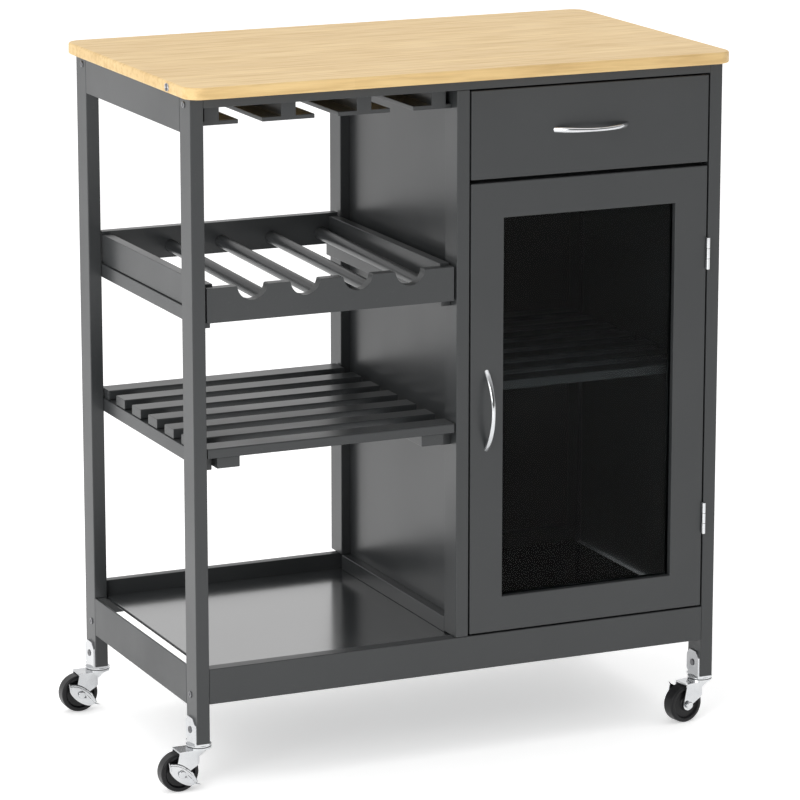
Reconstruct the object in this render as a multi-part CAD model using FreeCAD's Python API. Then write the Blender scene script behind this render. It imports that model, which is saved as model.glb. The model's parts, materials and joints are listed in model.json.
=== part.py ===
import FreeCAD, Part
import math
import os

# Kitchen island cart: wooden top on a painted frame, with an open bay on the left
# (stemware rails, pull-out wine tray, slatted shelf) and a cabinet on the right
# (drawer, glazed door, slatted shelf), standing on four swivel casters.
# Millimetres. X runs to the right along the front, Y to the back, Z up.
# The cart is drawn from the front left leg's outer corner on the floor, and every
# piece is moved to the origin at the centre of its footprint when it is written.

Vec = FreeCAD.Vector
xAxis = Vec(1, 0, 0)
yAxis = Vec(0, 1, 0)
zAxis = Vec(0, 0, 1)

# ---- overall sizes
frameWidth = 670.0
frameDepth = 370.0
totalHeight = 820.0

# ---- worktop
topThick = 14.0
topSideOverhang = 8.0
topFrontOverhang = 15.0
topBackOverhang = 20.0
topCorner = 20.0
topEdgeRound = 2.5

# ---- frame boards
boardThick = 16.0
legDepth = 33.0
topRailFrontHeight = 11.5
topRailHeight = 42.0
frontRailBottom = 103.0
frontRailHeight = 42.0
backRailBottom = 120.0
backRailHeight = 42.0
backRailSetIn = 12.0
thinBoard = 12.0
sideRailSheet = 2.5
sideRailBottom = 97.0
sideRailHeight = 47.0
sideRailFlange = 14.0
panelThick = 4.0
panelSet = 5.0
floorThick = 4.0
floorDrop = 1.5
floorGap = 1.5

# ---- fits
slideGap = 2.5
restGap = 0.5
moveGap = 0.4
runFit = 0.05
frontGap = 2.0

# ---- cleats and slatted shelves
cleatWidth = 12.0
cleatHeight = 16.0
cleatStart = 16.5
slatCount = 7
slatWidth = 29.0
slatThick = 11.5
battenWidth = 28.0
battenThick = 13.0
openShelfTop = 404.0
openShelfFront = 2.0
cabinetShelfTop = 445.0

# ---- wine tray
trayBottom = 557.5
traySideHeight = 34.5
trayBackHeight = 38.0
trayFrontDrop = 8.0
trayFrontHeight = 40.0
trayFront = 2.0
trayBoard = 12.0
trayFrontThick = 13.0
bottleCount = 4
bottlePitch = 65.0
notchRadius = 18.5
notchRise = 1.5
notchLip = 2.0
dowelRadius = 7.5
dowelSeat = 6.0
dowelFrontHeight = 564.5
dowelBackHeight = 571.5

# ---- stemware rails
stemCount = 4
stemInset = 16.0
stemWeb = 18.0
stemFlange = 64.0
stemFlangeThick = 5.0
stemDrop = 34.0

# ---- drawer
frontThick = 16.0
drawerFrontHeight = 103.5
drawerBoxUp = 8.0
drawerBoxHeight = 80.0
drawerBackClear = 34.0
drawerBoard = 12.0
drawerPanel = 4.0
drawerPanelUp = 6.0
drawerGroove = 5.0
runnerHeight = 35.0
runnerThick = 6.0
runnerUp = 18.0
drawerRailDepth = 32.0

# ---- door
doorDrawerGap = 4.5
doorFrame = 42.0
rebate = 7.0
glassThick = 4.0
glassSet = 8.0
glassFit = 0.4
hingeHeight = 38.0
hingeFromTop = 105.0
hingeFromBottom = 109.0
leafThick = 0.8
leafReach = 14.0
knuckleRadius = 2.2
pinRadius = 1.2
pinOut = 3.0
catchWidth = 40.0
catchDepth = 14.0
catchHeight = 12.0

# ---- bow handles
handleLength = 98.0
handleRise = 21.0
handleFoot = 8.0
handleBar = 4.5
handleWidth = 7.0
handleRound = 1.6

# ---- casters
wheelRadius = 23.0
wheelWidth = 17.0
trailPastWheel = 3.0
axleRadius = 3.0
axleHead = 4.5
axleHeadThick = 1.8
cheekGap = 1.2
cheekThick = 2.0
forkClear = 0.8
forkPlateThick = 2.0
forkPastAxle = 2.0
forkEye = 7.0
noseDrop = 10.0
noseGap = 1.5
noseRound = 6.0
flareDeep = 6.3
flareRadius = 10.0
flareSet = 7.0
forkRace = 2.0
raceRadius = 15.0
raceThick = 2.2
raceGap = 0.5
plateThick = 2.5
tabHeight = 30.0
tabWidth = 29.0
tabCorner = 7.0
footCut = 5.0
kingpinRadius = 4.0
kingpinHead = 6.0
leverThick = 1.5
leverTail = 22.0
leverTip = 28.5
leverHalf = 9.7
casterTurn = {"front_left": 0.0, "front_right": 10.0, "back_left": 0.0, "back_right": 0.0}
leverAngle = {"front_left": -38.0, "front_right": 110.0, "back_left": -38.0, "back_right": 110.0}
leverSide = {"front_left": -1, "front_right": 1, "back_left": -1, "back_right": 1}

# ---- screws and the small plate on the worktop's edge
screwRadius = 4.0
screwHead = 1.2
screwSocket = 1.8
screwSocketDeep = 0.8
legScrewY = 20.0
legScrewHeights = (112.0, 797.0)
edgePlateY = 49.0
edgePlateLong = 12.0
edgePlateHigh = 9.0
edgePlateThick = 1.0

# ---- places worked out from the sizes above
trail = wheelRadius + trailPastWheel
forkUnder = 2 * wheelRadius + forkClear
forkTop = forkUnder + forkPlateThick
forkRear = trail + forkPastAxle
raceTop = forkTop + forkRace + raceGap
legFoot = raceTop + raceThick + plateThick
topUnder = totalHeight - topThick
legBack = frameDepth - legDepth
inLeft = boardThick
inRight = frameWidth - boardThick
postLeft = (frameWidth - boardThick) / 2
postRight = postLeft + boardThick
frontRailTop = frontRailBottom + frontRailHeight
backRailTop = backRailBottom + backRailHeight
backRailBack = frameDepth - backRailSetIn
backRailFront = backRailBack - thinBoard
backBoardFront = frameDepth - boardThick
floorTop = frontRailTop - floorDrop
floorUnder = floorTop - floorThick
sidePanelLeft = inRight + panelSet
backPanelFront = frameDepth - 1 - panelThick
bayCentre = (inLeft + postLeft) / 2
stemPitch = (postLeft - inLeft - 2 * stemInset) / (stemCount - 1)
trayLeft = inLeft + slideGap
trayRight = postLeft - slideGap
trayBackEdge = backBoardFront - 2
openShelfBack = backBoardFront - 2
cabinetShelfFront = boardThick + slideGap
cabinetShelfBack = backPanelFront - slideGap
drawerFrontTop = topUnder - topRailFrontHeight - frontGap
drawerFrontBottom = drawerFrontTop - drawerFrontHeight
drawerBoxBottom = drawerFrontBottom + drawerBoxUp
drawerBoxBack = frameDepth - drawerBackClear
runnerStart = frontThick + slideGap
runnerEnd = drawerBoxBack + 12
doorTop = drawerFrontBottom - doorDrawerGap
doorBottom = frontRailTop + frontGap
doorLeft = postRight + frontGap
doorRight = inRight - frontGap
doorMiddle = (doorLeft + doorRight) / 2
hingeX = inRight - frontGap / 2
hingeY = -pinOut
casterPoints = {
    "front_left": (boardThick / 2, legDepth / 2),
    "front_right": (frameWidth - boardThick / 2, legDepth / 2),
    "back_left": (boardThick / 2, frameDepth - legDepth / 2),
    "back_right": (frameWidth - boardThick / 2, frameDepth - legDepth / 2),
}
footLeft = boardThick / 2 - trail - wheelRadius
footRight = frameWidth + topSideOverhang
footFront = -max(handleRise, topFrontOverhang)
footBack = frameDepth + topBackOverhang
origin = Vec((footLeft + footRight) / 2, (footFront + footBack) / 2, 0)
written = {}


def box(x0, x1, y0, y1, z0, z1):
    return Part.makeBox(x1 - x0, y1 - y0, z1 - z0, Vec(x0, y0, z0))


def rod(radius, start, direction, length):
    return Part.makeCylinder(radius, length, start, direction)


def plateFrom(points, thick, direction):
    """A flat plate: a closed outline of straight edges, made thick along a direction."""
    edges = Part.makePolygon([Vec(*p) for p in points + points[:1]])
    return Part.Face(edges).extrude(direction * thick)


def save(name, *shapes):
    placed = []
    for shape in shapes:
        piece = shape.copy()
        piece.translate(-origin)
        placed.append(piece)
    whole = placed[0] if len(placed) == 1 else Part.makeCompound(placed)
    whole.exportStep("parts/" + name + ".step")
    written[name] = whole


def mirrored(shape):
    """The same piece on the cart's other side."""
    return shape.mirror(Vec(frameWidth / 2, 0, 0), xAxis)


# ---- frame
def makeWorktop():
    top = box(-topSideOverhang, frameWidth + topSideOverhang,
              -topFrontOverhang, frameDepth + topBackOverhang, topUnder, totalHeight)
    corners = [e for e in top.Edges if abs(e.Vertexes[0].Z - e.Vertexes[1].Z) > topThick / 2]
    top = top.makeFillet(topCorner, corners)
    rims = [e for f in top.Faces if abs(f.normalAt(0, 0).z) > 0.9 for e in f.Edges]
    return top.makeFillet(topEdgeRound, rims)


def makeEdgePlate():
    """A small oval plate let against the left edge of the top, with its two screw heads."""
    half = (edgePlateLong - edgePlateHigh) / 2
    middle = topUnder + topThick / 2
    x = -topSideOverhang - edgePlateThick
    plate = box(x, -topSideOverhang, edgePlateY - half, edgePlateY + half,
                middle - edgePlateHigh / 2, middle + edgePlateHigh / 2)
    for side in (-half, half):
        end = rod(edgePlateHigh / 2, Vec(x, edgePlateY + side, middle), xAxis, edgePlateThick)
        plate = plate.fuse(end)
    return plate.removeSplitter()


def leg(x, y):
    """One leg, with its foot's back corner cut off over the caster."""
    back = y + legDepth
    outline = [(x, y, legFoot), (x, back - footCut, legFoot), (x, back, legFoot + footCut),
               (x, back, topUnder), (x, y, topUnder)]
    return plateFrom(outline, boardThick, xAxis)


def makeLegs():
    save("leg_front_left", leg(0, 0))
    save("leg_front_right", leg(inRight, 0))
    save("leg_back_left", leg(0, legBack))
    save("leg_back_right", leg(inRight, legBack))
    save("post_front", box(postLeft, postRight, 0, legDepth,
                           frontRailTop, topUnder - topRailFrontHeight))
    save("post_back", box(postLeft, postRight, legBack, frameDepth,
                          backRailTop, topUnder - topRailHeight))


def makeRails():
    save("top_rail_front", box(inLeft, inRight, 0, boardThick,
                               topUnder - topRailFrontHeight, topUnder))
    save("top_rail_back", box(inLeft, inRight, backBoardFront, frameDepth,
                              topUnder - topRailHeight, topUnder))
    side = box(0, boardThick, legDepth, legBack, topUnder - topRailHeight, topUnder)
    save("top_rails_side", side, mirrored(side))
    save("bottom_rail_front", box(inLeft, inRight, 0, boardThick,
                                  frontRailBottom, frontRailTop))
    save("bottom_rail_back", box(inLeft, inRight, backRailFront, backRailBack,
                                 backRailBottom, backRailTop))
    low, high = sideRailBottom, sideRailBottom + sideRailHeight
    folded = box(0, sideRailSheet, legDepth, legBack, low, high)
    folded = folded.fuse(box(0, sideRailFlange, legDepth, legDepth + sideRailSheet, low, high))
    folded = folded.fuse(box(0, sideRailFlange, legBack - sideRailSheet, legBack, low, high))
    folded = folded.removeSplitter()
    save("bottom_rails_side", folded, mirrored(folded))


def makePanels():
    save("floor_panel", box(inLeft + floorGap, inRight - restGap,
                            boardThick, backRailFront, floorUnder, floorTop))
    save("divider_panel", box(postRight - panelThick, postRight, legDepth, legBack,
                              floorTop, topUnder))
    save("divider_base_rail", box(postLeft, postRight - panelThick, legDepth, legBack,
                                  floorTop, backRailTop))
    save("side_panel_right", box(sidePanelLeft, sidePanelLeft + panelThick, legDepth, legBack,
                                 sideRailBottom + sideRailHeight, topUnder - topRailHeight))
    save("back_panel", box(postRight, inRight, backPanelFront, backPanelFront + panelThick,
                           backRailBottom, topUnder - topRailHeight))


def makeStemwareRails():
    """Upside-down T rails under the top. The first and last are trimmed to the bay."""
    low = topUnder - stemDrop
    rails = []
    for i in range(stemCount):
        x = inLeft + stemInset + stemPitch * i
        left = max(x - stemFlange / 2, inLeft)
        right = min(x + stemFlange / 2, postLeft)
        flange = box(left, right, boardThick, backBoardFront, low, low + stemFlangeThick)
        web = box(x - stemWeb / 2, x + stemWeb / 2, boardThick, backBoardFront,
                  low + stemFlangeThick, topUnder)
        rails.append(flange.fuse(web).removeSplitter())
    save("stemware_rails", *rails)


def cleat(x, top):
    return box(x, x + cleatWidth, cleatStart, backBoardFront, top - cleatHeight, top)


def makeCleats():
    strips = []
    for top in (trayBottom - restGap, openShelfTop - slatThick - restGap):
        strips.append(cleat(inLeft, top))
        strips.append(cleat(postLeft - cleatWidth, top))
    top = cabinetShelfTop - slatThick
    strips.append(cleat(postRight, top))
    strips.append(cleat(inRight - cleatWidth, top))
    save("shelf_cleats", *strips)


def makeShelf(left, right, front, back, top, inset, slatName, battenName):
    pitch = (back - front - slatWidth) / (slatCount - 1)
    slats = []
    for i in range(slatCount):
        y = front + pitch * i
        slat = box(left, right, y, y + slatWidth, top - slatThick, top)
        slats.append(slat.makeFillet(1.5, [e for e in slat.Edges if alongX(e)]))
    save(slatName, *slats)
    under = top - slatThick
    first = left + inset
    last = right - inset - battenWidth
    battens = [box(x, x + battenWidth, front + 3, back - 3, under - battenThick, under)
               for x in (first, last)]
    save(battenName, *battens)


def alongX(edge):
    return abs(edge.Vertexes[0].X - edge.Vertexes[1].X) > edge.Length / 2


def makeShelves():
    inset = cleatWidth + restGap
    makeShelf(inLeft + floorGap, postLeft - floorGap, openShelfFront, openShelfBack,
              openShelfTop, inset, "shelf_slats", "shelf_battens")
    makeShelf(postRight + floorGap, inRight - floorGap, cabinetShelfFront, cabinetShelfBack,
              cabinetShelfTop, inset, "cabinet_shelf_slats", "cabinet_shelf_battens")


# ---- wine tray
def makeTray():
    dowelXs = [bayCentre + bottlePitch * (i - bottleCount / 2) for i in range(bottleCount + 1)]
    sideTop = trayBottom + traySideHeight
    backFront = trayBackEdge - trayBoard
    frontBack = trayFront + trayFrontThick
    frontTop = trayBottom - trayFrontDrop + trayFrontHeight
    board = box(trayLeft, trayRight, trayFront, frontBack, trayBottom - trayFrontDrop, frontTop)
    for i in range(bottleCount):
        x = bayCentre + bottlePitch * (i - (bottleCount - 1) / 2)
        board = board.cut(rod(notchRadius, Vec(x, trayFront - 1, frontTop + notchRise), yAxis,
                              trayFrontThick + 2))
    lips = [e for e in board.Edges
            if len(e.Vertexes) == 2 and e.Length < trayFrontThick + 1
            and min(v.Z for v in e.Vertexes) > frontTop - 0.01
            and trayLeft + 1 < e.Vertexes[0].X < trayRight - 1]
    board = board.makeFillet(notchLip, lips)
    back = box(trayLeft, trayRight, backFront, trayBackEdge, trayBottom,
               trayBottom + trayBackHeight)
    dowels = []
    for x in dowelXs:
        start = Vec(x, frontBack - dowelSeat, dowelFrontHeight)
        along = Vec(x, backFront + dowelSeat, dowelBackHeight) - start
        length = along.Length
        socket = rod(dowelRadius + runFit, start, along, length)
        board = board.cut(socket)
        back = back.cut(socket)
        dowels.append(rod(dowelRadius, start, along, length))
    side = box(trayLeft, trayLeft + trayBoard, frontBack, backFront, trayBottom, sideTop)
    other = box(trayRight - trayBoard, trayRight, frontBack, backFront, trayBottom, sideTop)
    save("tray_front", board)
    save("tray_back", back)
    save("tray_sides", side, other)
    save("tray_dowels", *dowels)


# ---- bow handle: an arched bar on two feet, drawn along X with its feet on Y = 0
def arc(half, rise):
    return Part.Arc(Vec(-half, 0, 0), Vec(0, -rise, 0), Vec(half, 0, 0)).toShape()


def bowHandle():
    half = handleLength / 2
    outer = arc(half, handleRise)
    inner = arc(half - handleFoot, handleRise - handleBar)
    left = Part.makeLine(Vec(-half, 0, 0), Vec(-half + handleFoot, 0, 0))
    right = Part.makeLine(Vec(half - handleFoot, 0, 0), Vec(half, 0, 0))
    wire = Part.Wire([left, inner, right, outer])
    bar = Part.Face(wire).extrude(zAxis * handleWidth)
    bar.translate(zAxis * (-handleWidth / 2))
    curved = [e for e in bar.Edges if e.Length > half]
    return bar.makeFillet(handleRound, curved)


# ---- drawer
def makeDrawer():
    front = box(doorLeft, doorRight, 0, frontThick, drawerFrontBottom, drawerFrontTop)
    gap = runnerThick * 2 + moveGap
    left = postRight + gap
    right = inRight - gap
    low, high = drawerBoxBottom, drawerBoxBottom + drawerBoxHeight
    back = drawerBoxBack
    panelLow = low + drawerPanelUp
    panelHigh = panelLow + drawerPanel
    panel = box(left + drawerBoard - drawerGroove + 0.5, right - drawerBoard + drawerGroove - 0.5,
                frontThick, back, panelLow, panelHigh)
    groove = box(left + drawerBoard - drawerGroove, right - drawerBoard + drawerGroove,
                 frontThick - 1, back + 1, panelLow, panelHigh)
    sides = [box(left, left + drawerBoard, frontThick, back, low, high).cut(groove),
             box(right - drawerBoard, right, frontThick, back, low, high).cut(groove)]
    rear = box(left + drawerBoard, right - drawerBoard, back - drawerBoard, back,
               panelHigh, high)
    save("drawer_front", front)
    save("drawer_sides", *sides)
    save("drawer_back", rear)
    save("drawer_bottom", panel)
    runnerLow = low + runnerUp
    fixed = [box(postRight, postRight + runnerThick, runnerStart, runnerEnd,
                 runnerLow, runnerLow + runnerHeight),
             box(inRight - runnerThick, inRight, runnerStart, runnerEnd,
                 runnerLow, runnerLow + runnerHeight)]
    inner = (runnerHeight - 20) / 2
    moving = [box(left - runnerThick, left, runnerStart, back,
                  runnerLow + inner, runnerLow + runnerHeight - inner),
              box(right, right + runnerThick, runnerStart, back,
                  runnerLow + inner, runnerLow + runnerHeight - inner)]
    save("drawer_runners", *fixed)
    save("drawer_slides", *moving)
    save("drawer_rail", box(postRight, inRight, runnerStart, runnerStart + drawerRailDepth,
                            drawerFrontBottom - 1 - thinBoard, drawerFrontBottom - 1))
    handle = bowHandle()
    handle.translate(Vec(doorMiddle, 0, (drawerFrontBottom + drawerFrontTop) / 2))
    save("drawer_handle", handle)


# ---- door
def makeDoor():
    openLeft, openRight = doorLeft + doorFrame, doorRight - doorFrame
    openLow, openHigh = doorBottom + doorFrame, doorTop - doorFrame
    pocket = box(openLeft - rebate, openRight + rebate, glassSet, frontThick + 1,
                 openLow - rebate, openHigh + rebate)
    stiles = [box(doorLeft, openLeft, 0, frontThick, doorBottom, doorTop).cut(pocket),
              box(openRight, doorRight, 0, frontThick, doorBottom, doorTop).cut(pocket)]
    rails = [box(openLeft, openRight, 0, frontThick, doorBottom, openLow).cut(pocket),
             box(openLeft, openRight, 0, frontThick, openHigh, doorTop).cut(pocket)]
    glassBack = glassSet + glassThick
    glass = box(openLeft - rebate + glassFit, openRight + rebate - glassFit,
                glassSet, glassBack, openLow - rebate + glassFit, openHigh + rebate - glassFit)
    left, right = openLeft - rebate, openRight + rebate
    low, high = openLow - rebate, openHigh + rebate
    beads = [box(left, openLeft, glassBack, frontThick, low, high),
             box(openRight, right, glassBack, frontThick, low, high),
             box(openLeft, openRight, glassBack, frontThick, low, openLow),
             box(openLeft, openRight, glassBack, frontThick, openHigh, high)]
    save("door_stiles", *stiles)
    save("door_rails", *rails)
    save("door_glass", glass)
    save("glass_beads", *beads)
    handle = bowHandle()
    handle.rotate(Vec(0, 0, 0), yAxis, 90)
    handle.translate(Vec(doorLeft + doorFrame / 2, 0, (doorBottom + doorTop) / 2))
    save("door_handle", handle)


def knuckle(low, high):
    return rod(knuckleRadius, Vec(hingeX, hingeY, low), zAxis, high - low)


def makeHinges():
    """Two butt hinges in the gap at the door's right edge. The frame leaf holds the pin."""
    frameLeaves, doorLeaves = [], []
    for low in (doorBottom + hingeFromBottom - hingeHeight / 2,
                doorTop - hingeFromTop - hingeHeight / 2):
        third = hingeHeight / 3
        bore = rod(pinRadius + runFit, Vec(hingeX, hingeY, low - 1), zAxis, hingeHeight + 2)
        door = box(doorRight, doorRight + leafThick, 0, leafReach, low, low + hingeHeight)
        tongue = box(doorRight, doorRight + leafThick, hingeY, 0,
                     low + third + moveGap, low + 2 * third - moveGap)
        door = door.fuse(tongue).fuse(knuckle(low + third + moveGap, low + 2 * third - moveGap))
        doorLeaves.append(door.cut(bore).removeSplitter())
        frame = box(inRight - leafThick, inRight, 0, leafReach, low, low + hingeHeight)
        for start in (low, low + 2 * third):
            frame = frame.fuse(box(inRight - leafThick, inRight, hingeY, 0,
                                   start, start + third))
            frame = frame.fuse(knuckle(start, start + third))
        pin = rod(pinRadius, Vec(hingeX, hingeY, low), zAxis, hingeHeight)
        frameLeaves.append(frame.fuse(pin).removeSplitter())
    save("hinge_leaves_door", *doorLeaves)
    save("hinge_leaves_frame", *frameLeaves)
    x = doorLeft + doorFrame / 2 - catchWidth / 2
    y = frontThick + 1
    z = drawerFrontBottom - 1 - thinBoard
    save("door_catch", box(x, x + catchWidth, y, y + catchDepth, z - catchHeight, z))


# ---- casters: drawn with the swivel axis on X = Y = 0 and the wheel trailing to -X
def casterPlate():
    """The fixed plate under the leg, its upper race, and the tab screwed to the leg."""
    low = legFoot - plateThick
    half = tabWidth / 2
    x = -boardThick / 2
    flat = box(x - plateThick, -x, -half, half, low, legFoot)
    tab = plateFrom([(x - plateThick, -half, legFoot),
                     (x - plateThick, half - footCut, legFoot),
                     (x - plateThick, half, legFoot + footCut),
                     (x - plateThick, half, legFoot + tabHeight - tabCorner),
                     (x - plateThick, half - tabCorner, legFoot + tabHeight),
                     (x - plateThick, -half + tabCorner, legFoot + tabHeight),
                     (x - plateThick, -half, legFoot + tabHeight - tabCorner)],
                    plateThick, xAxis)
    race = rod(raceRadius, Vec(0, 0, low - raceThick), zAxis, raceThick)
    race = race.makeFillet(1.2, [e for e in race.Edges if e.Vertexes[0].Z < low - 1])
    hole = rod(kingpinRadius, Vec(0, 0, low - raceThick - 1), zAxis, raceThick + plateThick + 2)
    return flat.fuse(tab).fuse(race).removeSplitter().cut(hole)


def kingpin():
    low = forkUnder - 0.5
    pin = rod(kingpinRadius, Vec(0, 0, low), zAxis, legFoot - low)
    head = rod(kingpinHead, Vec(0, 0, low - 2), zAxis, 2)
    return pin.fuse(head).removeSplitter()


def tangentPoint(x, z, side):
    """Where a straight edge from (x, z) meets the round eye at the axle."""
    reach = math.hypot(x + trail, z - wheelRadius)
    turn = math.atan2(z - wheelRadius, x + trail) + side * math.acos(forkEye / reach)
    return -trail + forkEye * math.cos(turn), wheelRadius + forkEye * math.sin(turn)


def channel(front, half, rounding, low, high):
    """A block open to the rear, with its two front corners rounded."""
    block = box(-2 * trail, front, -half, half, low, high)
    corners = [e for e in block.Edges if abs(e.Vertexes[0].X - front) < 0.01
               and abs(e.Vertexes[1].X - front) < 0.01
               and abs(e.Vertexes[0].Z - e.Vertexes[1].Z) > 1]
    return block.makeFillet(rounding, corners)


def fork():
    """Pressed fork: lower race, flared crown, rounded nose and two cheeks, with the axle riveted across."""
    top = forkTop + forkRace
    under = forkUnder
    cheekIn = wheelWidth / 2 + cheekGap
    cheekOut = cheekIn + cheekThick
    noseLow = wheelRadius + noseDrop
    noseFront = math.sqrt(wheelRadius ** 2 - noseDrop ** 2) - trail + noseGap + cheekThick
    race = rod(raceRadius, Vec(0, 0, forkTop), zAxis, top - forkTop)
    race = race.makeFillet(1.0, [e for e in race.Edges if e.Vertexes[0].Z > top - 0.1])
    eye = Vec(-trail, 0, wheelRadius)
    lower = tangentPoint(noseFront, noseLow, -1)
    upper = tangentPoint(-forkRear, under, 1)
    outline = [(lower[0], -cheekOut, lower[1]), (noseFront, -cheekOut, noseLow),
               (noseFront, -cheekOut, forkTop), (-forkRear, -cheekOut, forkTop),
               (-forkRear, -cheekOut, under), (upper[0], -cheekOut, upper[1])]
    side = plateFrom(outline, 2 * cheekOut, yAxis)
    side = side.fuse(rod(forkEye, Vec(eye.x, -cheekOut, eye.z), yAxis, 2 * cheekOut))
    body = channel(noseFront, cheekOut, noseRound, 0, forkTop).common(side)
    flare = Part.makeLoft([
        Part.Wire(Part.makeCircle(flareRadius, Vec(-flareSet, 0, under - flareDeep), zAxis)),
        Part.Wire(Part.makeCircle(raceRadius, Vec(0, 0, forkTop), zAxis))], True)
    body = body.fuse(flare)
    body = body.cut(channel(noseFront - cheekThick, cheekIn, noseRound - cheekThick, -1, under))
    head = kingpinHead + 0.6
    body = body.cut(rod(head, Vec(0, 0, under - 2.9), zAxis, 2.9))
    body = body.fuse(race).removeSplitter()
    body = body.cut(rod(kingpinRadius + runFit, Vec(0, 0, under - 1), zAxis, top))
    out = cheekOut + 2 * moveGap + leverThick
    body = body.fuse(rod(axleRadius, Vec(eye.x, -out, eye.z), yAxis, 2 * out))
    for y in (-out - axleHeadThick, out):
        body = body.fuse(rod(axleHead, Vec(eye.x, y, eye.z), yAxis, axleHeadThick))
    return body.removeSplitter()


def wheel():
    """A solid wheel with a rounded tread and a shallow dish on each side."""
    y = -wheelWidth / 2
    tyre = rod(wheelRadius, Vec(-trail, y, wheelRadius), yAxis, wheelWidth)
    tyre = tyre.makeFillet(2.5, [e for e in tyre.Edges if len(e.Vertexes) == 1])
    dish = rod(wheelRadius - 5.5, Vec(-trail, y - 1, wheelRadius), yAxis, 3)
    dish = dish.cut(rod(7.5, Vec(-trail, y - 1, wheelRadius), yAxis, 3))
    far = dish.mirror(Vec(0, 0, 0), yAxis)
    bore = rod(axleRadius + runFit, Vec(-trail, y - 1, wheelRadius), yAxis, wheelWidth + 2)
    return tyre.cut(dish).cut(far).cut(bore)


def lever(side, angle):
    """Leaf-shaped brake lever that turns on the axle, outside one cheek."""
    cheekOut = wheelWidth / 2 + cheekGap + cheekThick
    near = cheekOut + moveGap
    tail, tip, half = leverTail, leverTip, leverHalf
    upper = Part.Arc(Vec(-tail, 0, 0), Vec(0, 0, half), Vec(tip, 0, 0)).toShape()
    lower = Part.Arc(Vec(tip, 0, 0), Vec(0, 0, -half), Vec(-tail, 0, 0)).toShape()
    leaf = Part.Face(Part.Wire([upper, lower])).extrude(yAxis * leverThick)
    leaf.translate(yAxis * near)
    leaf = leaf.cut(rod(axleRadius + runFit, Vec(0, near - 1, 0), yAxis, leverThick + 2))
    if side < 0:
        leaf = leaf.mirror(Vec(0, 0, 0), yAxis)
    leaf.rotate(Vec(0, 0, 0), yAxis, -angle)
    leaf.translate(Vec(-trail, 0, wheelRadius))
    return leaf


def atCorner(shape, corner, turned=True):
    x, y = casterPoints[corner]
    piece = shape.copy()
    if turned:
        piece.rotate(Vec(0, 0, 0), zAxis, casterTurn[corner])
    piece.translate(Vec(x, y, 0))
    return piece


def makeCasters():
    save("caster_plates", *[atCorner(casterPlate(), c, False) for c in casterPoints])
    save("caster_kingpins", *[atCorner(kingpin(), c, False) for c in casterPoints])
    for corner in casterPoints:
        save("caster_fork_" + corner, atCorner(fork(), corner))
        save("caster_wheel_" + corner, atCorner(wheel(), corner))
        save("brake_lever_" + corner,
             atCorner(lever(leverSide[corner], leverAngle[corner]), corner))


# ---- screws: button heads with a socket, all facing -X or +X
def screw(radius, x, y, z, direction):
    head = rod(radius, Vec(x, y, z), xAxis * direction, screwHead)
    hole = rod(screwSocket * radius / screwRadius,
               Vec(x + direction * (screwHead - screwSocketDeep), y, z),
               xAxis * direction, screwSocketDeep + 1)
    return head.cut(hole)


def makeScrews():
    heads = []
    for z in legScrewHeights:
        for y in (legScrewY, frameDepth - legScrewY):
            heads.append(screw(screwRadius, 0, y, z, -1))
            heads.append(screw(screwRadius, frameWidth, y, z, 1))
    tabZ = legFoot + tabHeight / 2
    for x, y in casterPoints.values():
        heads.append(screw(screwRadius, x - boardThick / 2 - plateThick, y, tabZ, -1))
    middle = topUnder + topThick / 2
    for side in (-1, 1):
        heads.append(screw(screwRadius / 2, -topSideOverhang - edgePlateThick,
                           edgePlateY, middle + side * edgePlateHigh / 4, -1))
    save("frame_screws", *heads)


os.makedirs("parts", exist_ok=True)
save("worktop", makeWorktop())
save("edge_plate", makeEdgePlate())
makeLegs()
makeRails()
makePanels()
makeStemwareRails()
makeCleats()
makeShelves()
makeTray()
makeDrawer()
makeDoor()
makeHinges()
makeCasters()
makeScrews()
print(len(written), "pieces written")
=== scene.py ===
import json
import math
import bpy
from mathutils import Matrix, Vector


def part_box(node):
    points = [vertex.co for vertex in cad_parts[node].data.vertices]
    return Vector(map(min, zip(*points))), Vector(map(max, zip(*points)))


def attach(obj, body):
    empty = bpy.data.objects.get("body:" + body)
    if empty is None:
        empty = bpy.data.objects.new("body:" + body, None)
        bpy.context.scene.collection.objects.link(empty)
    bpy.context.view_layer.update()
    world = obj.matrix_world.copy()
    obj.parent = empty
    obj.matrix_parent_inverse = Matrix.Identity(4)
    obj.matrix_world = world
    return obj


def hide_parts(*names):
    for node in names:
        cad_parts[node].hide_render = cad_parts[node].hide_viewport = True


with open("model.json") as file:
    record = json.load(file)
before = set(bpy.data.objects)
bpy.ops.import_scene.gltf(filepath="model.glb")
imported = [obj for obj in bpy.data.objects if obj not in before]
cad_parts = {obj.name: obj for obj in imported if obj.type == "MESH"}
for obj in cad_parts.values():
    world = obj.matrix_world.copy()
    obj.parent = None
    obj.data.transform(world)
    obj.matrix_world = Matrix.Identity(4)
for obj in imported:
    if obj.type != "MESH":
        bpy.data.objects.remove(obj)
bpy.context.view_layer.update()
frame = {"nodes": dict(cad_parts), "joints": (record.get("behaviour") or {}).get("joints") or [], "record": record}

nodes = frame["nodes"]
bodyOf = {node: body for body, group in frame["record"]["behaviour"]["bodies"].items() for node in group}
slotOf = {part["node"]: part["material_slot"] for part in frame["record"]["subparts"]}
jointAt = {joint["name"]: joint for joint in frame["joints"]}
corners = ("front_left", "front_right", "back_left", "back_right")

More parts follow.
